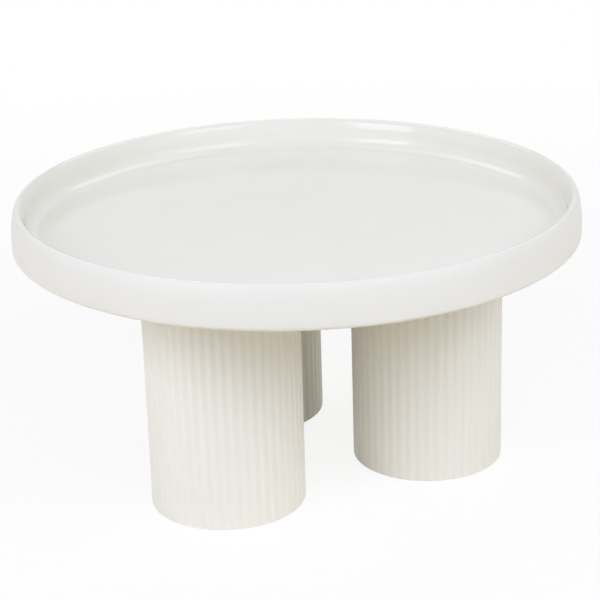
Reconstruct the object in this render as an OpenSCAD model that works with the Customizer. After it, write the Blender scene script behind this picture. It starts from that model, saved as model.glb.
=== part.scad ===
// Cake stand: a round plate with a raised lip, carried by three ribbed column legs.
// A leg is a hollow column with a closed foot. Its open top slips over a ring collar
// on the underside of the plate and is bonded there, and a soft pad is let into its foot.
// The origin is on the table, under the centre of the plate.

/* [Plate] */
// Diameter over the widest line of the rim
plate_d = 300; // [260:1:360]
// Height from the underside to the crest of the lip
plate_h = 24.5; // [22:0.5:32]
// Thickness of the floor
floor_t = 8.5; // [6:0.5:10]
// Distance of the lip's crest in from the widest line
crest_in = 4; // [2:0.1:5]
// Width of the rounding inside the crest
lip_w = 3.8; // [2:0.1:6]
// Squareness of the outer wall, where 2 is an ellipse
wall_squareness = 2.4; // [2:0.1:4]
// Width of the rounding under the rim
under_w = 15.7; // [8:0.1:20]
// Height of the rounding under the rim
under_h = 4.1; // [2:0.1:6]
// Width of the fillet at the edge of the dish's floor
fillet_w = 6.8; // [3:0.1:9]
// Height of the fillet, up to where the rounding inside the crest ends
fillet_h = 6.8; // [5:0.1:10]

/* [Legs] */
// Height of a leg from its foot edge to its top
leg_h = 124.7; // [80:0.1:180]
// Diameter over the crests of the ribs
leg_d = 81; // [64:0.5:95]
// Diameter of the circle through the leg axes
leg_circle_d = 137; // [120:1:160]
// Number of ribs round a leg
rib_count = 50; // [30:1:60]
// Depth of the grooves between the ribs
rib_depth = 0.4; // [0.3:0.1:1.5]
// Thickness of the wall, from the crests of the ribs
leg_wall = 7; // [6:0.5:10]
// Thickness of the closed foot
foot_t = 7; // [5:0.5:10]
// Width of the bevel round the foot's edge
foot_bevel = 0.4; // [0.3:0.1:2]
// Diameter of the kiln vent through the foot
vent_d = 5; // [3:0.5:8]

/* [Joint under the plate] */
// Height of the collar that locates a leg
collar_h = 4; // [2:0.5:8]
// Width of the collar's ring
collar_w = 6; // [4:0.5:10]
// Clearance between the collar and the leg round it
collar_gap = 0.4; // [0.3:0.1:1]
// Width of the bevels that lead a leg on to its collar
lead_in = 0.6; // [0.3:0.1:1]
// Thickness of the bond between a leg's top and the plate
bond_t = 0.5; // [0.3:0.1:1]
// Distance of the bond from the grooves outside and from the bore inside
bond_inset = 1.2; // [0.5:0.1:1.5]

/* [Foot pads] */
// Thickness of a pad
pad_t = 1.2; // [1:0.1:2]
// How far a pad stands out of the foot
pad_proud = 0.3; // [0.2:0.1:0.8]
// Distance of the pad's recess in from the crests of the ribs
pad_margin = 6; // [4:0.5:12]
// Clearance round a pad in its recess
pad_gap = 0.3; // [0.2:0.1:0.6]

/* [Hidden] */
$fn = 96;

// Directions of the legs round the stand
FRONT_LEFT_ANGLE = 210;
FRONT_RIGHT_ANGLE = 330;
BACK_ANGLE = 90;

// Number of chords in a quarter of a rounding, and in one rib
ARC_STEPS = 12;
RIB_STEPS = 8;

// Heights above the table
foot_z = pad_proud;
leg_top_z = foot_z + leg_h;
plate_z = leg_top_z + bond_t;

// Radii of the plate
rim_r = plate_d/2;
crest_r = rim_r - crest_in;

// Steepest line of the dish's wall, the edge of its flat floor, and the height of the lip's inside
wall_r = crest_r - lip_w;
flat_r = wall_r - fillet_w;
lip_h = plate_h - floor_t - fillet_h;

// Radii of a leg, its collar, its bond and its pad
leg_r = leg_d/2;
bore_r = leg_r - leg_wall;
collar_r = bore_r - collar_gap;
bond_in_r = bore_r + bond_inset;
bond_out_r = leg_r - rib_depth - bond_inset;
recess_r = leg_r - pad_margin;
pad_r = recess_r - pad_gap;

// Angles that step through a quarter turn
quarter = [for (k = [0:ARC_STEPS]) 90*k/ARC_STEPS];

// Half section of the plate, from the middle of its underside round the rim to the middle of its floor
under_rounding = [for (a = quarter) [rim_r - under_w*(1 - sin(a)), under_h*(1 - cos(a))]];
outer_wall = [
    for (a = quarter)
        [
            crest_r + crest_in*pow(cos(a), 2/wall_squareness),
            under_h + (plate_h - under_h)*pow(sin(a), 2/wall_squareness)
        ]
];
lip_inside = [for (a = quarter) [crest_r - lip_w*sin(a), plate_h - lip_h*(1 - cos(a))]];
dish_fillet = [for (a = quarter) [flat_r + fillet_w*cos(a), floor_t + fillet_h*(1 - sin(a))]];

// Every list but the first drops the point where it meets the one before
function after_first(points) = [for (k = [1:len(points) - 1]) points[k]];
plate_section = concat(
    [[0, 0]],
    under_rounding,
    after_first(outer_wall),
    after_first(lip_inside),
    after_first(dish_fillet),
    [[0, floor_t]]
);

// Outline of a leg: the ribs are a cosine wave round a circle, with their crests on leg_d
rib_points = rib_count*RIB_STEPS;
function rib_r(a) = leg_r - rib_depth*(1 - cos(rib_count*a))/2;
leg_outline = [
    for (k = [0:rib_points - 1])
        let (a = 360*k/rib_points)
            rib_r(a)*[cos(a), sin(a)]
];

// Puts its children on a leg's axis
module on_leg_axis(direction) {
    rotate(direction)
        translate([leg_circle_d/2, 0, 0])
            children();
}

// Ring collar, rooted in the plate's floor, with a bevel round its free end
module collar() {
    rotate_extrude()
        polygon([
            [collar_r - collar_w, floor_t/2],
            [collar_r - collar_w, -collar_h],
            [collar_r - lead_in, -collar_h],
            [collar_r, lead_in - collar_h],
            [collar_r, floor_t/2]
        ]);
}

module plate() {
    color("ivory")
        translate([0, 0, plate_z]) {
            rotate_extrude()
                polygon(plate_section);
            for (direction = [FRONT_LEFT_ANGLE, FRONT_RIGHT_ANGLE, BACK_ANGLE])
                on_leg_axis(direction)
                    collar();
        }
}

// Ring that cuts the bevel round a foot, past the crests of the ribs
module foot_bevel_cut() {
    rotate_extrude()
        polygon([
            [leg_r - 2*foot_bevel, -foot_bevel],
            [leg_r + foot_bevel, -foot_bevel],
            [leg_r + foot_bevel, 2*foot_bevel]
        ]);
}

// Inside of a leg from its closed foot up, wider at its mouth
module leg_bore() {
    translate([0, 0, foot_t])
        cylinder(r = bore_r, h = leg_h);
    translate([0, 0, leg_h - lead_in])
        cylinder(r1 = bore_r, r2 = bore_r + 2*lead_in, h = 2*lead_in);
}

module leg(direction) {
    color("floralwhite")
        on_leg_axis(direction)
            difference() {
                translate([0, 0, foot_z])
                    difference() {
                        linear_extrude(leg_h)
                            polygon(leg_outline);
                        foot_bevel_cut();
                        leg_bore();
                        cylinder(d = vent_d, h = leg_h);
                    }
                cylinder(r = recess_r, h = pad_t);
            }
}

module bond(direction) {
    color("wheat")
        on_leg_axis(direction)
            translate([0, 0, leg_top_z])
                difference() {
                    cylinder(r = bond_out_r, h = bond_t);
                    translate([0, 0, -bond_t])
                        cylinder(r = bond_in_r, h = 3*bond_t);
                }
}

module foot_pad(direction) {
    color("gainsboro")
        on_leg_axis(direction)
            cylinder(r = pad_r, h = pad_t);
}

plate();
leg(FRONT_LEFT_ANGLE);  // leg_front_left
leg(FRONT_RIGHT_ANGLE);  // leg_front_right
leg(BACK_ANGLE);  // leg_back
bond(FRONT_LEFT_ANGLE);  // bond_front_left
bond(FRONT_RIGHT_ANGLE);  // bond_front_right
bond(BACK_ANGLE);  // bond_back
foot_pad(FRONT_LEFT_ANGLE);  // foot_pad_front_left
foot_pad(FRONT_RIGHT_ANGLE);  // foot_pad_front_right
foot_pad(BACK_ANGLE);  // foot_pad_back
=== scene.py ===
"""Dresses a cake stand: its glazed plate, ribbed legs, bonds and foot pads, on a pale studio floor.

Lengths are in metres and angles in degrees, unless a name says otherwise.
A half section is an array with one (radius, height) row per point. It runs round the
solid with the outside on its right, so that the surface turned from it faces outwards.
"""

import logging
from abc import ABC, abstractmethod
from dataclasses import dataclass, field
from enum import Enum

import bpy
import numpy as np
from mathutils import Matrix, Vector


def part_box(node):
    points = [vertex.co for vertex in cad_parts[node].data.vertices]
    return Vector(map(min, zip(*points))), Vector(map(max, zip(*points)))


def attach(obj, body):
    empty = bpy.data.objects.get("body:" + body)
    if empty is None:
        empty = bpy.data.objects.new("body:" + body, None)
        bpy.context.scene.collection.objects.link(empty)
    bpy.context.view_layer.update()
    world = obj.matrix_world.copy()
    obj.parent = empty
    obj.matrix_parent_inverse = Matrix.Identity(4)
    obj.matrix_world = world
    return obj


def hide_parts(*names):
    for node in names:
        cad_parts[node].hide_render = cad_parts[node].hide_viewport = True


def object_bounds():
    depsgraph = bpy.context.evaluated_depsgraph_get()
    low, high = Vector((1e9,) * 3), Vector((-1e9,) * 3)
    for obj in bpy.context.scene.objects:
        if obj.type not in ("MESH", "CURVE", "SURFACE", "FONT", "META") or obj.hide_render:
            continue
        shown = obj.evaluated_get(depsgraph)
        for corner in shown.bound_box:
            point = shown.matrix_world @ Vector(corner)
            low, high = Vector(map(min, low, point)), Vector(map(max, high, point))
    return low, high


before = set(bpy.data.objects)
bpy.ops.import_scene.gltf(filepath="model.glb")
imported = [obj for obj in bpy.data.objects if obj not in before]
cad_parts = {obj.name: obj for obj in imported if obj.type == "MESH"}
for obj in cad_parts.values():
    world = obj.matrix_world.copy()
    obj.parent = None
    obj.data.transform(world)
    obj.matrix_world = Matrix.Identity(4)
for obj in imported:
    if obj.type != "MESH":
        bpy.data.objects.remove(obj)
cad_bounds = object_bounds()

LOG = logging.getLogger("cake_stand")
MM = 0.001
BODY = "root"

# Cloudy noise keeps near the middle of 0 to 1: nearly all of it, and the part over which a colour turns
NOISE_SPAN = (0.3, 0.7)
TURN_SPAN = (0.35, 0.7)

Colour = tuple[float, float, float, float]
WHITE: Colour = (1, 1, 1, 1)

# One wave round a turn: its number of lobes, its height and its phase in radians
Lobe = tuple[int, float, float]


class Ends(Enum):
    """How the ends of a turned section close."""

    POLES = "both ends are single points on the axis"
    LOOP = "the last point joins the first"


class Corner(Enum):
    """Where a leg stands, as the ending of its node's name."""

    FRONT_LEFT = "front_left"
    FRONT_RIGHT = "front_right"
    BACK = "back"


class Slot(Enum):
    """Material slots of the record."""

    PLATE = "plate_glaze"
    LEG = "leg_glaze"
    BOND = "bond"
    PAD = "foot_pad"


class Blend(Enum):
    """What a Mix node blends."""

    COLOUR = "RGBA"
    NUMBER = "FLOAT"


class Fade(Enum):
    """How a value goes from one end of its range to the other."""

    EVEN = "LINEAR"
    SOFT = "SMOOTHSTEP"


class Joining(Enum):
    """How two numbers become one."""

    LARGER = "MAXIMUM"
    PRODUCT = "MULTIPLY"


class Tint(Enum):
    """Colours of the lamps' light."""

    COOL = (0.96, 1.0, 1.12)
    PALE_COOL = (1.0, 1.0, 1.09)
    PALE = (0.99, 1.0, 1.06)
    WARM = (1.0, 0.99, 0.94)


def straight(start: tuple[float, float], end: tuple[float, float], steps: int) -> np.ndarray:
    """Points along a straight line, closer together near its ends.

    The share of the way along is (1 - cos t) / 2 as t goes from 0 to half a turn.

    Args:
        start: First (radius, height).
        end: Last (radius, height).
        steps: Number of gaps between the points.

    Returns:
        An array of steps + 1 (radius, height) rows.
    """
    way = (1 - np.cos(np.linspace(0, np.pi, steps + 1))) / 2
    return np.outer(1 - way, start) + np.outer(way, end)


def rounding(
    centre: tuple[float, float],
    half_axes: tuple[float, float],
    angles: tuple[float, float],
    steps: int,
    squareness: float = 2.0,
) -> np.ndarray:
    """Points on an arc of an ellipse, or of a squarer curve of the same family.

    Each coordinate is its half axis times the cosine, or the sine, of the angle, with that
    cosine's or sine's size raised to the power 2 / squareness and its sign kept.

    Args:
        centre: (radius, height) of the curve's middle.
        half_axes: Half widths of the whole curve along radius and height.
        angles: First and last angle, counted from outwards towards up.
        steps: Number of gaps between the points.
        squareness: 2 for an ellipse, more for squarer shoulders.

    Returns:
        An array of steps + 1 (radius, height) rows.
    """
    turn = np.radians(np.linspace(*angles, steps + 1))
    unit = np.stack([np.cos(turn), np.sin(turn)], axis=1)
    unit = np.where(np.isclose(unit, 0), 0.0, unit)
    return np.array(centre) + np.array(half_axes) * np.sign(unit) * np.abs(unit) ** (2 / squareness)


def joined(*runs: np.ndarray) -> np.ndarray:
    """Runs of points end to end, without the point that each run shares with the one before."""
    return np.concatenate([runs[0]] + [run[1:] for run in runs[1:]])


def eased(value: np.ndarray) -> np.ndarray:
    """Values clipped to 0 and 1, with a soft start and a soft stop between them."""
    clipped = np.clip(value, 0, 1)
    return clipped * clipped * (3 - 2 * clipped)


def angles_round(steps: int) -> np.ndarray:
    """Angles of a full turn in radians, as one row that lines up with a column of section points."""
    return np.linspace(0, 2 * np.pi, steps, endpoint=False)[None, :]


def waves_round(turn: np.ndarray, lobes: tuple[Lobe, ...]) -> np.ndarray:
    """Sum of waves round a turn.

    A wave is its height times the sine of its number of lobes times the angle plus its phase.

    Args:
        turn: Row of angles in radians.
        lobes: The waves.

    Returns:
        A row with the sum at each angle.
    """
    counts, heights, phases = (np.array(column)[:, None] for column in zip(*lobes))
    return (heights * np.sin(counts * turn + phases)).sum(axis=0, keepdims=True)


@dataclass
class Surface:
    """Vertices, faces and named point values of one mesh.

    The faces are arrays of vertex numbers, each with one row per face.
    """

    vertices: np.ndarray
    faces: list[np.ndarray]
    values: dict[str, np.ndarray] = field(default_factory=dict)

    @classmethod
    def turned(
        cls,
        radius: np.ndarray,
        height: np.ndarray,
        axis: Vector,
        ends: Ends,
        values: dict[str, np.ndarray] | None = None,
    ) -> "Surface":
        """A surface turned about an upright axis from grids over section points and angles.

        The point of section row s at angle t is the axis plus radius[s, t] times (cos t, sin t),
        at height[s, t]. With poles, the first and last rows are one vertex each.

        Args:
            radius: Grid of distances from the axis, one row per section point.
            height: Grid of heights, of the same shape.
            axis: Point on the axis, of which x and y count.
            ends: How the section's two ends close.
            values: Grids of point values to keep with the mesh, by name.

        Returns:
            The closed surface.
        """
        rows, steps = radius.shape
        turn = angles_round(steps)
        grid = np.stack(
            [axis.x + radius * np.cos(turn), axis.y + radius * np.sin(turn), height], axis=-1
        )
        names = values or {}
        if ends is Ends.LOOP:
            points = {name: grid_of.reshape(-1) for name, grid_of in names.items()}
            return cls(grid.reshape(-1, 3), [cls.quads(rows, steps, True)], points)
        inner = grid[1:-1].reshape(-1, 3)
        vertices = np.concatenate([inner, grid[:1, 0], grid[-1:, 0]])
        points = {
            name: np.concatenate([grid_of[1:-1].reshape(-1), grid_of[:1, 0], grid_of[-1:, 0]])
            for name, grid_of in names.items()
        }
        first_ring = np.arange(steps)
        last_ring = first_ring + (rows - 3) * steps
        first_pole = np.full(steps, len(inner))
        first_fan = np.stack([first_pole, np.roll(first_ring, -1), first_ring], axis=1)
        last_fan = np.stack([first_pole + 1, last_ring, np.roll(last_ring, -1)], axis=1)
        return cls(vertices, [cls.quads(rows - 2, steps, False), first_fan, last_fan], points)

    @staticmethod
    def quads(rows: int, steps: int, loop: bool) -> np.ndarray:
        """Four vertex numbers for each cell between neighbouring rows and angles.

        Args:
            rows: Number of rows of vertices.
            steps: Number of vertices in a row, which closes on itself.
            loop: True if the last row joins the first.

        Returns:
            An array with one row of four numbers per cell.
        """
        row = np.arange(rows if loop else rows - 1)[:, None]
        step = np.arange(steps)[None, :]
        next_row = (row + 1) % rows
        next_step = (step + 1) % steps
        corners = [
            row * steps + step,
            row * steps + next_step,
            next_row * steps + next_step,
            next_row * steps + step,
        ]
        return np.stack(corners, axis=-1).reshape(-1, 4)

    def beside(self, other: "Surface") -> "Surface":
        """This surface and another in one mesh.

        Args:
            other: Surface to add. A point value that it lacks is 0 on it.

        Returns:
            Both surfaces as one.
        """
        shifted = [group + len(self.vertices) for group in other.faces]
        values = {
            name: np.concatenate([own, other.values.get(name, np.zeros(len(other.vertices)))])
            for name, own in self.values.items()
        }
        return Surface(np.concatenate([self.vertices, other.vertices]), self.faces + shifted, values)

    def to_object(self, name: str) -> bpy.types.Object:
        """Puts the surface into a smooth mesh object at the origin.

        Args:
            name: Name of the object and its mesh.

        Returns:
            The object, linked to the scene.
        """
        mesh = bpy.data.meshes.new(name)
        mesh.from_pydata(self.vertices.tolist(), [], sum((group.tolist() for group in self.faces), []))
        mesh.polygons.foreach_set("use_smooth", np.ones(len(mesh.polygons), dtype=bool))
        for value_name, points in self.values.items():
            layer = mesh.attributes.new(value_name, "FLOAT", "POINT")
            layer.data.foreach_set("value", points.astype(np.float32))
        mesh.update()
        piece = bpy.data.objects.new(name, mesh)
        bpy.context.scene.collection.objects.link(piece)
        return piece


class NodeGraph:
    """Adds and links the nodes of one node tree."""

    def __init__(self, tree: bpy.types.NodeTree) -> None:
        """Starts with an empty tree.

        Args:
            tree: Node tree, whose nodes are removed.
        """
        self.tree = tree
        self.tree.nodes.clear()

    def node(self, kind: str) -> bpy.types.Node:
        """Adds a node of a kind."""
        return self.tree.nodes.new(kind)

    def feed(self, socket: bpy.types.NodeSocket, source: object) -> None:
        """Links a socket to another socket, or sets it to a plain value.

        Args:
            socket: Input to feed.
            source: Output socket, number or colour.
        """
        if isinstance(source, bpy.types.NodeSocket):
            self.tree.links.new(source, socket)
        else:
            socket.default_value = source

    def combined(self, how: Joining, first: object, second: object) -> bpy.types.NodeSocket:
        """Two numbers made one.

        Args:
            how: How they are joined.
            first: Number or socket.
            second: Number or socket.

        Returns:
            The joined number.
        """
        step = self.node("ShaderNodeMath")
        step.operation = how.value
        self.feed(step.inputs[0], first)
        self.feed(step.inputs[1], second)
        return step.outputs["Value"]

    def ranged(
        self,
        value: object,
        low: float,
        high: float,
        to_low: float = 0.0,
        to_high: float = 1.0,
        fade: Fade = Fade.EVEN,
    ) -> bpy.types.NodeSocket:
        """A value carried from one range to another, and clipped there.

        Args:
            value: Number or socket to carry over.
            low: Value that becomes to_low.
            high: Value that becomes to_high.
            to_low: Start of the new range.
            to_high: End of the new range.
            fade: How the value goes from one end to the other.

        Returns:
            The new value.
        """
        carry = self.node("ShaderNodeMapRange")
        carry.interpolation_type = fade.value
        self.feed(carry.inputs["Value"], value)
        carry.inputs["From Min"].default_value = low
        carry.inputs["From Max"].default_value = high
        carry.inputs["To Min"].default_value = to_low
        carry.inputs["To Max"].default_value = to_high
        return carry.outputs["Result"]

    def seen(self) -> bpy.types.NodeSocket:
        """1 for rays that show the background itself: from the camera, or by way of gloss or glass.

        Returns:
            The number, which is 0 for all other rays.
        """
        path = self.node("ShaderNodeLightPath").outputs
        by_gloss = self.combined(Joining.LARGER, path["Is Camera Ray"], path["Is Glossy Ray"])
        return self.combined(Joining.LARGER, by_gloss, path["Is Transmission Ray"])

    def shader(self, kind: str, colour: Colour, strength: float | None = None) -> bpy.types.NodeSocket:
        """A plain shader of one colour.

        Args:
            kind: Kind of shader node.
            colour: Its colour.
            strength: Its strength, if it gives light.

        Returns:
            The shader's output.
        """
        plain = self.node(kind)
        plain.inputs["Color"].default_value = colour
        if strength is not None:
            plain.inputs["Strength"].default_value = strength
        return plain.outputs[0]

    def chosen(self, share: object, first: object, second: object) -> bpy.types.NodeSocket:
        """A blend of two shaders.

        Args:
            share: 0 for the first, 1 for the second.
            first: Output of a shader.
            second: Output of a shader.

        Returns:
            The blend.
        """
        choice = self.node("ShaderNodeMixShader")
        for socket, source in zip(choice.inputs, (share, first, second)):
            self.feed(socket, source)
        return choice.outputs["Shader"]

    def put_out(self, kind: str, surface: bpy.types.NodeSocket) -> None:
        """Ends the tree in an output node of a kind."""
        self.feed(self.node(kind).inputs["Surface"], surface)


class GlazeGraph(NodeGraph):
    """The nodes of one material with a principled shader, patterned in object coordinates."""

    def __init__(self, name: str) -> None:
        """Starts a material with one principled shader.

        Args:
            name: Name of the material.
        """
        self.material = bpy.data.materials.new(name)
        self.material.use_nodes = True
        super().__init__(self.material.node_tree)
        self.principled = self.node("ShaderNodeBsdfPrincipled")
        self.put_out("ShaderNodeOutputMaterial", self.principled.outputs["BSDF"])
        self.coords = self.node("ShaderNodeTexCoord").outputs["Object"]

    def point_value(self, name: str) -> bpy.types.NodeSocket:
        """A point value that the mesh carries.

        Args:
            name: The value's name.

        Returns:
            The value.
        """
        reader = self.node("ShaderNodeAttribute")
        reader.attribute_name = name
        return reader.outputs["Fac"]

    def noise(
        self, size: float, detail: float = 2.0, stretch: tuple[float, float, float] = (1, 1, 1)
    ) -> bpy.types.NodeSocket:
        """Cloudy noise from 0 to 1 in object coordinates.

        Args:
            size: Rough size of one cloud.
            detail: Number of finer layers.
            stretch: How many times longer the clouds are along each axis.

        Returns:
            The noise's value.
        """
        place = self.node("ShaderNodeMapping")
        place.inputs["Scale"].default_value = [1 / (size * times) for times in stretch]
        self.feed(place.inputs["Vector"], self.coords)
        clouds = self.node("ShaderNodeTexNoise")
        clouds.inputs["Scale"].default_value = 1.0
        clouds.inputs["Detail"].default_value = detail
        self.feed(clouds.inputs["Vector"], place.outputs["Vector"])
        return clouds.outputs["Fac"]

    def spread(self, noise: bpy.types.NodeSocket, middle: float, half: float) -> bpy.types.NodeSocket:
        """A number that cloudy noise carries from half below its middle to half above it."""
        return self.ranged(noise, *NOISE_SPAN, middle - half, middle + half)

    def mixed(
        self, share: object, first: object, second: object, kind: Blend = Blend.COLOUR
    ) -> bpy.types.NodeSocket:
        """A blend of two colours or two numbers.

        Args:
            share: 0 for the first, 1 for the second.
            first: Colour or number, plain or from a socket.
            second: Colour or number, plain or from a socket.
            kind: Whether they are colours or numbers.

        Returns:
            The blend.
        """
        blend = self.node("ShaderNodeMix")
        blend.data_type = kind.value
        ends = [socket for socket in blend.inputs if socket.enabled and socket.name in ("A", "B")]
        self.feed(blend.inputs["Factor"], share)
        self.feed(ends[0], first)
        self.feed(ends[1], second)
        return next(socket for socket in blend.outputs if socket.enabled)

    def scaled(self, colour: object, factor: object) -> bpy.types.NodeSocket:
        """A colour made lighter or darker.

        Args:
            colour: Colour, plain or from a socket.
            factor: Number that multiplies it.

        Returns:
            The new colour.
        """
        product = self.node("ShaderNodeVectorMath")
        product.operation = "SCALE"
        self.feed(product.inputs["Vector"], colour)
        self.feed(product.inputs["Scale"], factor)
        return product.outputs["Vector"]

    def bumped(self, height: object, depth: float, under: object = None) -> bpy.types.NodeSocket:
        """A normal tilted by a height from 0 to 1.

        Args:
            height: Height of the relief.
            depth: Real depth of the relief.
            under: Normal of a coarser relief that this one lies on, if any.

        Returns:
            The tilted normal.
        """
        relief = self.node("ShaderNodeBump")
        relief.inputs["Distance"].default_value = depth
        self.feed(relief.inputs["Height"], height)
        if under is not None:
            self.feed(relief.inputs["Normal"], under)
        return relief.outputs["Normal"]

    def finish(self, colour: object, roughness: object, normal: object) -> bpy.types.Material:
        """Feeds the shader and hands over the material.

        Args:
            colour: Base colour.
            roughness: Roughness.
            normal: Tilted normal.

        Returns:
            The material.
        """
        self.feed(self.principled.inputs["Base Color"], colour)
        self.feed(self.principled.inputs["Roughness"], roughness)
        self.feed(self.principled.inputs["Normal"], normal)
        return self.material


class Finish(ABC):
    """A surface finish that can make its material."""

    @abstractmethod
    def material(self) -> bpy.types.Material:
        """Makes the material."""


@dataclass(frozen=True)
class PlateGlaze(Finish):
    """Off-white glaze, glossy in the dish and satin outside, over a pale clay that shows underneath."""

    inside: Colour = (0.866, 0.849, 0.785, 1)
    outside: Colour = (0.82, 0.806, 0.764, 1)
    # Painted warm shade for the dish's wall; the same colour also darkens the rim's lower edge
    wall_shade_and_edge: Colour = (0.81, 0.785, 0.68, 1)
    clay: Colour = (0.62, 0.5, 0.36, 1)
    cloud_shade: float = 0.985
    dish_roughness: float = 0.06
    outside_roughness: float = 0.44
    clay_roughness: float = 0.85
    gloss_spread: float = 0.015
    satin_spread: float = 0.05
    specular: float = 0.42
    cloud_size: float = 28 * MM
    ripple_size: float = 22 * MM
    tooth_size: float = 0.7 * MM
    ripple_depth: float = 0.012 * MM
    tooth_depth: float = 0.02 * MM
    dish_tooth: float = 0.03

    def material(self) -> bpy.types.Material:
        """Makes the material.

        Returns:
            The material.
        """
        graph = GlazeGraph("plate_glaze")
        graph.principled.inputs["Specular IOR Level"].default_value = self.specular
        dish = graph.point_value("dish")
        clay = graph.point_value("clay")
        clouds = graph.noise(self.cloud_size, detail=4)
        tooth = graph.noise(self.tooth_size, detail=3)
        colour = graph.mixed(dish, self.outside, self.inside)
        # Painted warm shade on the dish's wall, and a darker, warmer band along the rim's lower edge
        colour = graph.mixed(graph.point_value("wall_shade_and_edge"), colour, self.wall_shade_and_edge)
        colour = graph.mixed(clay, colour, self.clay)
        colour = graph.scaled(colour, graph.ranged(clouds, *TURN_SPAN, 1.0, self.cloud_shade))
        satin = graph.spread(tooth, self.outside_roughness, self.satin_spread)
        gloss = graph.spread(clouds, self.dish_roughness, self.gloss_spread)
        roughness = graph.mixed(dish, satin, gloss, Blend.NUMBER)
        roughness = graph.mixed(clay, roughness, self.clay_roughness, Blend.NUMBER)
        ripples = graph.bumped(graph.noise(self.ripple_size, detail=1), self.ripple_depth)
        tooth_share = graph.ranged(dish, 0, 1, 1.0, self.dish_tooth)
        rough_tooth = graph.combined(Joining.PRODUCT, tooth, tooth_share)
        return graph.finish(colour, roughness, graph.bumped(rough_tooth, self.tooth_depth, ripples))


@dataclass(frozen=True)
class LegGlaze(Finish):
    """Warm white satin glaze that thins over the ribs and gathers in the grooves."""

    body: Colour = (0.89, 0.88, 0.842, 1)
    gathered: Colour = (0.873, 0.858, 0.8, 1)
    run: Colour = (0.88, 0.867, 0.822, 1)
    roughness: float = 0.46
    roughness_spread: float = 0.06
    specular: float = 0.3
    run_size: float = 16 * MM
    run_stretch: float = 3.0
    tooth_size: float = 0.6 * MM
    tooth_depth: float = 0.02 * MM

    def material(self) -> bpy.types.Material:
        """Makes the material.

        Returns:
            The material.
        """
        graph = GlazeGraph("leg_glaze")
        graph.principled.inputs["Specular IOR Level"].default_value = self.specular
        runs = graph.noise(self.run_size, detail=3, stretch=(1, 1, self.run_stretch))
        tooth = graph.noise(self.tooth_size, detail=3)
        colour = graph.mixed(graph.ranged(runs, *TURN_SPAN), self.body, self.run)
        colour = graph.mixed(graph.point_value("groove"), colour, self.gathered)
        roughness = graph.spread(tooth, self.roughness, self.roughness_spread)
        return graph.finish(colour, roughness, graph.bumped(tooth, self.tooth_depth))


@dataclass(frozen=True)
class CuredBond(Finish):
    """Cured bond, matt and a little uneven."""

    body: Colour = (0.6, 0.56, 0.46, 1)
    patch: Colour = (0.52, 0.475, 0.38, 1)
    roughness: float = 0.6
    roughness_spread: float = 0.1
    patch_size: float = 5 * MM
    grain_size: float = 0.5 * MM
    grain_depth: float = 0.03 * MM

    def material(self) -> bpy.types.Material:
        """Makes the material.

        Returns:
            The material.
        """
        graph = GlazeGraph("cured_bond")
        patches = graph.noise(self.patch_size, detail=3)
        grain = graph.noise(self.grain_size, detail=2)
        colour = graph.mixed(graph.ranged(patches, *NOISE_SPAN), self.body, self.patch)
        roughness = graph.spread(grain, self.roughness, self.roughness_spread)
        return graph.finish(colour, roughness, graph.bumped(grain, self.grain_depth))


@dataclass(frozen=True)
class PadRubber(Finish):
    """Soft pale grey rubber, matt, with a fine moulded grain and a dusty bloom."""

    body: Colour = (0.5, 0.495, 0.475, 1)
    bloom: Colour = (0.58, 0.575, 0.555, 1)
    roughness: float = 0.8
    roughness_spread: float = 0.08
    bloom_size: float = 6 * MM
    grain_size: float = 0.4 * MM
    grain_depth: float = 0.05 * MM

    def material(self) -> bpy.types.Material:
        """Makes the material.

        Returns:
            The material.
        """
        graph = GlazeGraph("pad_rubber")
        blooms = graph.noise(self.bloom_size, detail=3)
        grain = graph.noise(self.grain_size, detail=2)
        colour = graph.mixed(graph.ranged(blooms, *TURN_SPAN), self.body, self.bloom)
        roughness = graph.spread(grain, self.roughness, self.roughness_spread)
        return graph.finish(colour, roughness, graph.bumped(grain, self.grain_depth))


def dressed(
    surface: Surface, name: str, node: str, material: bpy.types.Material
) -> bpy.types.Object:
    """Makes a surface a piece of the stand that takes a CAD node's place.

    Args:
        surface: The piece's mesh.
        name: Name of the piece.
        node: CAD node that it replaces.
        material: Its finish.

    Returns:
        The piece.
    """
    piece = surface.to_object(name)
    piece.data.materials.append(material)
    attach(piece, BODY)
    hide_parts(node)
    LOG.info("%s: %d vertices, %s", name, len(surface.vertices), material.name)
    return piece


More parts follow.
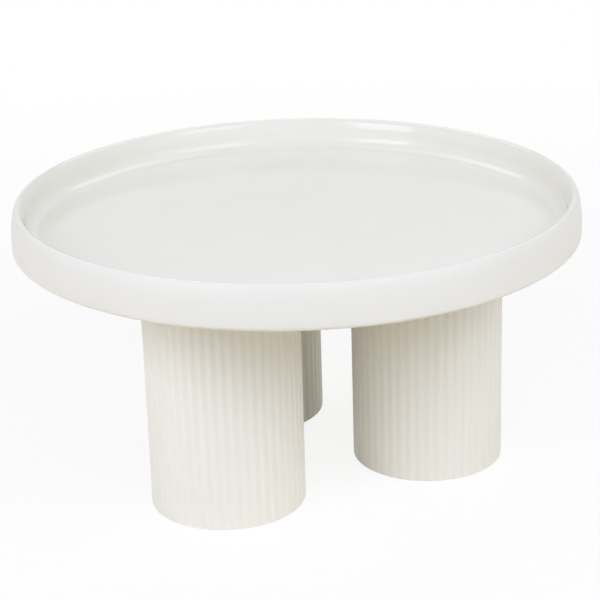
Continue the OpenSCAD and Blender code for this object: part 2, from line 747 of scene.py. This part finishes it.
@dataclass
class Plate:
    """The round plate: its half section turned about the stand's axis, with ring collars underneath."""

    floor_t: float = 8.5 * MM
    crest_in: float = 4 * MM
    lip_w: float = 3.8 * MM
    wall_squareness: float = 2.4
    under_w: float = 15.7 * MM
    under_h: float = 4.1 * MM
    fillet_w: float = 6.8 * MM
    fillet_h: float = 6.8 * MM
    waver: float = 0.12 * MM
    round_lobes: tuple[Lobe, ...] = ((3, 0.3, 0.7), (5, 0.2, 2.1))
    flat_lobes: tuple[Lobe, ...] = ((2, 0.3, 1.9), (3, 0.2, 0.4))
    lobes_middle: float = 0.5
    gloss_edge: float = 2 * MM
    floor_hair: float = 0.1 * MM
    clay_rise: float = 1 * MM
    clay_fade: float = 4 * MM
    wall_fade: float = 4 * MM
    # Shares of the painted warm wall shade and of the darker band along the rim's lower edge
    wall_shade_share: float = 0.3
    edge_tone_share: float = 0.35
    steps_round: int = 400
    collar_steps_round: int = 96

    def __post_init__(self) -> None:
        """Takes the outer sizes from the frame."""
        low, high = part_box("plate")
        self.rim_r = min(high.x - low.x, high.y - low.y) / 2
        self.crest_z = high.z
        self.collar_z = low.z
        self.underside_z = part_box("bond_back")[1].z
        self.floor_z = self.underside_z + self.floor_t
        self.crest_r = self.rim_r - self.crest_in

    def half_section(self) -> np.ndarray:
        """Half section from the middle of the underside, round the rim, to the middle of the dish.

        Returns:
            The section's (radius, height) rows.
        """
        under_r = self.rim_r - self.under_w
        under_top = self.underside_z + self.under_h
        lip_h = self.crest_z - self.floor_z - self.fillet_h
        flat_r = self.crest_r - self.lip_w - self.fillet_w
        return joined(
            straight((0, self.underside_z), (under_r, self.underside_z), steps=14),
            rounding((under_r, under_top), (self.under_w, self.under_h), (-90, 0), steps=14),
            rounding(
                (self.crest_r, under_top),
                (self.crest_in, self.crest_z - under_top),
                (0, 90),
                steps=30,
                squareness=self.wall_squareness,
            ),
            rounding((self.crest_r, self.crest_z - lip_h), (self.lip_w, lip_h), (90, 180), steps=20),
            rounding(
                (flat_r, self.floor_z + self.fillet_h),
                (self.fillet_w, -self.fillet_h),
                (0, 90),
                steps=20,
            ),
            straight((flat_r, self.floor_z), (0, self.floor_z), steps=18),
        )

    def point_values(self, radius: np.ndarray, height: np.ndarray) -> dict[str, np.ndarray]:
        """Where the dish's gloss, bare clay, painted wall shade and darker edge lie, each from 0 to 1.

        The gloss starts over a narrow band at the crest. The clay shows on the flat underside. Painted
        warm shade darkens the dish's wall above the floor, and a band along the rim's lower edge is
        darker.

        Args:
            radius: Column of the section's radii.
            height: Column of the section's heights.

        Returns:
            Columns of the values dish, clay and wall_shade_and_edge.
        """
        inward = self.crest_r - radius
        on_top = (height > self.floor_z - self.floor_hair) & (inward > -self.gloss_edge)
        dish = np.where(on_top, eased(inward / self.gloss_edge + 0.5), 0)
        underneath = height < self.underside_z + self.clay_rise
        clay_r = self.rim_r - self.under_w / 2
        clay = np.where(underneath, eased((clay_r - radius) / self.clay_fade), 0)
        # Painted warm shade: the wall inside the crest, from just above the floor, turns darker and
        # warmer
        wall = eased((height - self.floor_z) / self.wall_fade) * (inward > 0)
        # A darker, warmer band along the rim's lower edge
        edge_z = self.underside_z + self.under_h / 3
        edge = eased(1 - np.abs(height - edge_z) / self.under_h) * (radius > self.rim_r - self.under_w)
        return {"dish": dish, "clay": clay, "wall_shade_and_edge": self.wall_shade_share * wall + self.edge_tone_share * edge}

    def surface(self) -> Surface:
        """The plate's surface: the section turned, with the rim a hair out of true as fired ware is.

        The radius shrinks by up to waver times one slow wave round the plate, and the height above
        the lower edge by up to waver times another, both in step with the square of the share of the
        rim's radius.

        Returns:
            The surface, with the point values dish, clay and wall_shade_and_edge.
        """
        section = self.half_section()
        radius, height = section[:, :1], section[:, 1:]
        turn = angles_round(self.steps_round)
        level = np.ones_like(turn)
        shrink = self.waver * (radius / self.rim_r) ** 2
        out_of_round = self.lobes_middle + waves_round(turn, self.round_lobes)
        out_of_flat = self.lobes_middle + waves_round(turn, self.flat_lobes)
        above_edge = height > self.underside_z + self.under_h
        return Surface.turned(
            radius * level - shrink * out_of_round,
            height * level - shrink * out_of_flat * above_edge,
            Vector(),
            Ends.POLES,
            {name: column * level for name, column in self.point_values(radius, height).items()},
        )

    def collar(self, leg: "Leg") -> Surface:
        """The ring collar that locates a leg, rooted in the plate's floor.

        Args:
            leg: The leg that slips over it.

        Returns:
            The ring's surface.
        """
        outer = leg.bore_r - leg.collar_gap
        inner = outer - leg.collar_w
        root = self.underside_z + self.floor_t / 2
        foot = self.collar_z
        section = joined(
            straight((inner, foot), (outer - leg.lead_in, foot), steps=2),
            straight((outer - leg.lead_in, foot), (outer, foot + leg.lead_in), steps=2),
            straight((outer, foot + leg.lead_in), (outer, root), steps=3),
            straight((outer, root), (inner, root), steps=2),
            straight((inner, root), (inner, foot), steps=3),
        )[:-1]
        level = np.ones((1, self.collar_steps_round))
        return Surface.turned(section[:, :1] * level, section[:, 1:] * level, leg.axis, Ends.LOOP)

    def build(self, legs: list["Leg"], material: bpy.types.Material) -> bpy.types.Object:
        """Makes the plate with its collars.

        Args:
            legs: The legs that the collars locate.
            material: The plate's glaze.

        Returns:
            The piece.
        """
        surface = self.surface()
        for leg in legs:
            surface = surface.beside(self.collar(leg))
        return dressed(surface, "glazed_plate", "plate", material)


@dataclass
class Leg:
    """A hollow ribbed leg with its bond on top and its pad in the foot."""

    corner: Corner
    rib_count: int = 50
    rib_depth: float = 0.4 * MM
    wall_t: float = 7 * MM
    foot_t: float = 7 * MM
    foot_round: float = 0.4 * MM
    top_round: float = 0.5 * MM
    vent_r: float = 2.5 * MM
    recess_margin: float = 6 * MM
    collar_gap: float = 0.4 * MM
    collar_w: float = 6 * MM
    lead_in: float = 0.6 * MM
    edge_r: float = 0.3 * MM
    bond_wander: float = 0.15 * MM
    bond_lobes: tuple[Lobe, ...] = ((4, 0.6, 1.1), (7, 0.4, 0.2))
    pad_edge_r: float = 0.35 * MM
    steps_per_rib: int = 12
    foot_steps: int = 7
    top_steps: int = 5
    bond_steps_round: int = 240
    pad_steps_round: int = 160

    def __post_init__(self) -> None:
        """Takes the place and the outer sizes from the frame."""
        low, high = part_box(self.node("leg"))
        self.axis = (low + high) / 2
        self.outer_r = max(high.x - low.x, high.y - low.y) / 2
        self.foot_z, self.top_z = low.z, high.z
        self.bore_r = self.outer_r - self.wall_t
        self.recess_r = self.outer_r - self.recess_margin
        self.recess_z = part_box(self.node("foot_pad"))[1].z

    def node(self, part: str) -> str:
        """The CAD node of a part of this leg, such as its bond."""
        return f"{part}_{self.corner.value}"

    def half_section(self) -> tuple[np.ndarray, np.ndarray]:
        """Half section of the leg as a loop, and how strongly the ribs shape each point.

        It runs up the outside, over the top, down the bore, through the vent and out under the foot.

        Returns:
            The section's (radius, height) rows, and a share from 0 to 1 for each.
        """
        out, bore, vent = self.outer_r, self.bore_r, self.vent_r
        foot, top, recess = self.foot_z, self.top_z, self.recess_z
        inside = foot + self.foot_t
        foot_out = out - self.foot_round
        top_out = out - self.top_round
        mouth = bore + self.lead_in
        recess_out = self.recess_r + self.edge_r
        foot_axes = (self.foot_round, self.foot_round)
        top_axes = (self.top_round, self.top_round)
        edge_axes = (-self.edge_r, -self.edge_r)
        wall = joined(
            rounding((foot_out, foot + self.foot_round), foot_axes, (-90, 0), self.foot_steps),
            straight((out, foot + self.foot_round), (out, top - self.top_round), steps=36),
            rounding((top_out, top - self.top_round), top_axes, (0, 90), steps=5),
        )
        rest = joined(
            straight((top_out, top), (mouth, top), self.top_steps),
            straight((mouth, top), (bore, top - self.lead_in), steps=2),
            straight((bore, top - self.lead_in), (bore, inside), steps=10),
            straight((bore, inside), (vent, inside), steps=6),
            straight((vent, inside), (vent, recess), steps=3),
            straight((vent, recess), (self.recess_r, recess), steps=6),
            straight((self.recess_r, recess), (self.recess_r, foot + self.edge_r), steps=2),
            rounding((recess_out, foot + self.edge_r), edge_axes, (0, 90), steps=4),
            straight((recess_out, foot), (foot_out, foot), steps=4),
        )
        section = joined(wall, rest)[:-1]
        foot_fade = eased(np.linspace(0, 1, self.foot_steps + 1))
        top_fade = eased(np.linspace(1, 0, self.top_steps + 1))[1:-1]
        ribbed = np.zeros(len(section))
        ribbed[: len(wall)] = 1
        ribbed[: len(foot_fade)] = foot_fade
        ribbed[len(wall) : len(wall) + len(top_fade)] = top_fade
        return section, ribbed

    def surface(self) -> Surface:
        """The leg's surface: the section turned, with the ribs as a cosine wave round it.

        The radius at angle t is the section's radius less the rib's depth times half of
        (1 - cos(rib_count t)), times the section point's share of ribbing.

        Returns:
            The surface, with the point value groove.
        """
        section, ribbed = self.half_section()
        turn = angles_round(self.rib_count * self.steps_per_rib)
        start = np.arctan2(self.axis.y, self.axis.x)
        wave = (1 - np.cos(self.rib_count * (turn - start))) / 2
        share = ribbed[:, None]
        return Surface.turned(
            section[:, :1] - self.rib_depth * share * wave,
            section[:, 1:] * np.ones_like(turn),
            self.axis,
            Ends.LOOP,
            {"groove": share * wave**2},
        )

    def bond_surface(self) -> Surface:
        """The bond's ring, with its outer and inner faces drawn in a little between its two pieces.

        The faces are shallow elliptical hollows, and the outer radius wanders inwards by a slow wave.

        Returns:
            The ring's surface.
        """
        low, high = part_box(self.node("bond"))
        half_h = (high.z - low.z) / 2
        middle = (high.z + low.z) / 2
        outer = max(high.x - low.x, high.y - low.y) / 2
        inner = self.bore_r + (self.outer_r - self.rib_depth - outer)
        hollow = half_h / 2
        section = joined(
            rounding((outer, middle), (-hollow, half_h), (-90, 90), steps=8),
            straight((outer, high.z), (inner, high.z), steps=4),
            rounding((inner, middle), (hollow, half_h), (90, -90), steps=8),
            straight((inner, low.z), (outer, low.z), steps=4),
        )[:-1]
        turn = angles_round(self.bond_steps_round)
        wander = self.bond_wander * (1 + waves_round(turn, self.bond_lobes))
        outside = eased((section[:, :1] - inner) / (outer - inner))
        height = section[:, 1:] * np.ones_like(turn)
        return Surface.turned(section[:, :1] - outside * wander, height, self.axis, Ends.LOOP)

    def pad_surface(self) -> Surface:
        """The foot pad: a disc with softly rounded edges.

        Returns:
            The disc's surface.
        """
        low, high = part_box(self.node("foot_pad"))
        radius = min(high.x - low.x, high.y - low.y) / 2
        soft = self.pad_edge_r
        section = joined(
            straight((0, low.z), (radius - soft, low.z), steps=10),
            rounding((radius - soft, low.z + soft), (soft, soft), (-90, 0), steps=5),
            straight((radius, low.z + soft), (radius, high.z - soft), steps=2),
            rounding((radius - soft, high.z - soft), (soft, soft), (0, 90), steps=5),
            straight((radius - soft, high.z), (0, high.z), steps=10),
        )
        level = np.ones((1, self.pad_steps_round))
        return Surface.turned(section[:, :1] * level, section[:, 1:] * level, self.axis, Ends.POLES)

    def build(
        self, glaze: bpy.types.Material, bond: bpy.types.Material, rubber: bpy.types.Material
    ) -> list[bpy.types.Object]:
        """Makes the leg, its bond and its pad.

        Args:
            glaze: The leg's glaze.
            bond: The bond's finish.
            rubber: The pad's rubber.

        Returns:
            The three pieces.
        """
        place = self.corner.value
        return [
            dressed(self.surface(), f"ribbed_leg_{place}", self.node("leg"), glaze),
            dressed(self.bond_surface(), f"bond_ring_{place}", self.node("bond"), bond),
            dressed(self.pad_surface(), f"rubber_pad_{place}", self.node("foot_pad"), rubber),
        ]


@dataclass
class Stage:
    """Pale floor and white surroundings."""

    reach: float = 5.0
    shadow_start: float = 0.25
    shadow_reach: float = 0.9
    shadow_share: float = 0.14
    floor_colour: Colour = (0.93, 0.88, 0.71, 1)
    fill_colour: Colour = (1.0, 0.95, 0.7, 1)
    fill_strength: float = 0.015
    rings: int = 12
    steps_round: int = 64

    def floor_material(self) -> bpy.types.Material:
        """Floor that is white where it is seen, shaded near the object, and pale where it lights it.

        The share of the shading falls off smoothly with the distance from the stand's axis.

        Returns:
            The material.
        """
        material = bpy.data.materials.new("studio_floor")
        material.use_nodes = True
        graph = NodeGraph(material.node_tree)
        distance = graph.node("ShaderNodeVectorMath")
        distance.operation = "LENGTH"
        graph.feed(distance.inputs[0], graph.node("ShaderNodeTexCoord").outputs["Object"])
        shadow = graph.ranged(
            distance.outputs["Value"],
            self.shadow_start,
            self.shadow_reach,
            self.shadow_share,
            0.0,
            fade=Fade.SOFT,
        )
        white = graph.shader("ShaderNodeEmission", WHITE, strength=1.0)
        shaded = graph.shader("ShaderNodeBsdfDiffuse", WHITE)
        pale = graph.shader("ShaderNodeBsdfDiffuse", self.floor_colour)
        shown = graph.chosen(shadow, white, shaded)
        graph.put_out("ShaderNodeOutputMaterial", graph.chosen(graph.seen(), pale, shown))
        return material

    def build(self) -> bpy.types.Object:
        """Makes the floor, a flat disc of rings about the stand's axis, and sets the world.

        Returns:
            The floor.
        """
        radius = np.linspace(self.reach, 0, self.rings)[:, None]
        turn = angles_round(self.steps_round)
        across, along = radius * np.cos(turn), radius * np.sin(turn)
        grid = np.stack([across, along, np.full_like(across, cad_bounds[0].z)], axis=-1)
        disc = Surface(grid.reshape(-1, 3), [Surface.quads(self.rings, self.steps_round, False)])
        floor = disc.to_object("studio_floor")
        floor.data.materials.append(self.floor_material())
        self.light_world()
        return floor

    def light_world(self) -> None:
        """White surroundings where they are seen, and a faint warm fill where they light the object."""
        world = bpy.data.worlds.new("studio")
        bpy.context.scene.world = world
        world.use_nodes = True
        graph = NodeGraph(world.node_tree)
        fill = graph.shader("ShaderNodeBackground", self.fill_colour, strength=self.fill_strength)
        white = graph.shader("ShaderNodeBackground", WHITE, strength=1.0)
        graph.put_out("ShaderNodeOutputWorld", graph.chosen(graph.seen(), fill, white))


def from_stand(azimuth: float, elevation: float) -> Vector:
    """Direction from the stand: azimuth 0 is towards -Y, and 90 towards +X.

    Args:
        azimuth: Angle round the stand.
        elevation: Angle above the floor.

    Returns:
        A unit vector.
    """
    round_z, up = np.radians(azimuth), np.radians(elevation)
    return Vector((np.sin(round_z) * np.cos(up), -np.cos(round_z) * np.cos(up), np.sin(up)))


@dataclass
class PhotoCamera:
    """Camera at the photograph's viewpoint."""

    azimuth: float = -24.5
    elevation: float = 20.33
    roll: float = -1.76
    distance: float = 1.01004
    lens_mm: float = 112.43
    sensor_mm: float = 36.0
    target: tuple[float, float, float] = (0.57 * MM, -0.26 * MM, 87.88 * MM)

    def build(self) -> bpy.types.Object:
        """Makes the camera and gives it to the scene.

        Returns:
            The camera.
        """
        back = from_stand(self.azimuth, self.elevation)
        right = Vector((0, 0, 1)).cross(back).normalized()
        up = back.cross(right)
        tilt = np.radians(self.roll)
        across = right * np.cos(tilt) + up * np.sin(tilt)
        above = up * np.cos(tilt) - right * np.sin(tilt)
        place = Vector(self.target) + back * self.distance
        data = bpy.data.cameras.new("photo_camera")
        data.lens = self.lens_mm
        data.sensor_width = self.sensor_mm
        camera = bpy.data.objects.new("photo_camera", data)
        turn = Matrix((across, above, back)).transposed().to_4x4()
        camera.matrix_world = Matrix.Translation(place) @ turn
        bpy.context.scene.collection.objects.link(camera)
        bpy.context.scene.camera = camera
        return camera


@dataclass
class Softbox:
    """A soft lamp that faces the middle of the plate, placed by its angle from the camera.

    A lamp that isn't mirrored stands for bounced light, and the glaze doesn't show it.
    """

    name: str
    tint: Tint
    aside: float
    elevation: float
    radiance: float
    width: float
    height: float
    mirrored: bool = True
    distance: float = 1.5

    def build(self, camera: PhotoCamera) -> bpy.types.Object:
        """Makes the lamp.

        Args:
            camera: Camera that the lamp stands beside.

        Returns:
            The lamp.
        """
        towards = from_stand(camera.azimuth + self.aside, self.elevation)
        data = bpy.data.lights.new(self.name, "AREA")
        data.shape = "RECTANGLE"
        data.size, data.size_y = self.width, self.height
        data.energy = self.radiance * np.pi * self.width * self.height
        data.color = self.tint.value
        lamp = bpy.data.objects.new(self.name, data)
        lamp.location = Vector(camera.target) + towards * self.distance
        lamp.rotation_euler = towards.to_track_quat("Z", "Y").to_euler()
        lamp.visible_camera = False
        lamp.visible_glossy = self.mirrored
        bpy.context.scene.collection.objects.link(lamp)
        return lamp


def studio_lamps() -> list[Softbox]:
    """Two softboxes at the sides of the camera, one behind the stand, and three bounced lights.

    Returns:
        The lamps.
    """
    return [
        Softbox(
            "softbox_left", Tint.COOL, aside=-44, elevation=30, radiance=3.25, width=0.7, height=0.98
        ),
        Softbox(
            "softbox_right", Tint.COOL, aside=45, elevation=42, radiance=2.5, width=0.72, height=0.85
        ),
        Softbox(
            "bounce_front",
            Tint.COOL,
            aside=8,
            elevation=40,
            radiance=2.5,
            width=1.2,
            height=0.8,
            mirrored=False,
        ),
        Softbox(
            "bounce_left",
            Tint.PALE_COOL,
            aside=-88,
            elevation=24,
            radiance=1.5,
            width=1.2,
            height=1.0,
            mirrored=False,
        ),
        Softbox(
            "bounce_right",
            Tint.PALE,
            aside=78,
            elevation=24,
            radiance=1.75,
            width=1.0,
            height=1.0,
            mirrored=False,
        ),
        Softbox(
            "softbox_back", Tint.WARM, aside=178, elevation=55, radiance=1.72, width=2.0, height=0.8
        ),
    ]


def main() -> None:
    """Builds the camera, the stage, the lamps and every piece of the stand."""
    logging.basicConfig(level=logging.INFO, format="%(name)s: %(message)s")
    bpy.context.scene.view_settings.view_transform = "Standard"
    camera = PhotoCamera()
    camera.build()
    Stage().build()
    for lamp in studio_lamps():
        lamp.build(camera)
    legs = [Leg(corner) for corner in Corner]
    Plate().build(legs, PlateGlaze().material())
    glaze, bond, rubber = LegGlaze().material(), CuredBond().material(), PadRubber().material()
    for leg in legs:
        leg.build(glaze, bond, rubber)


if __name__ == "__main__":
    main()
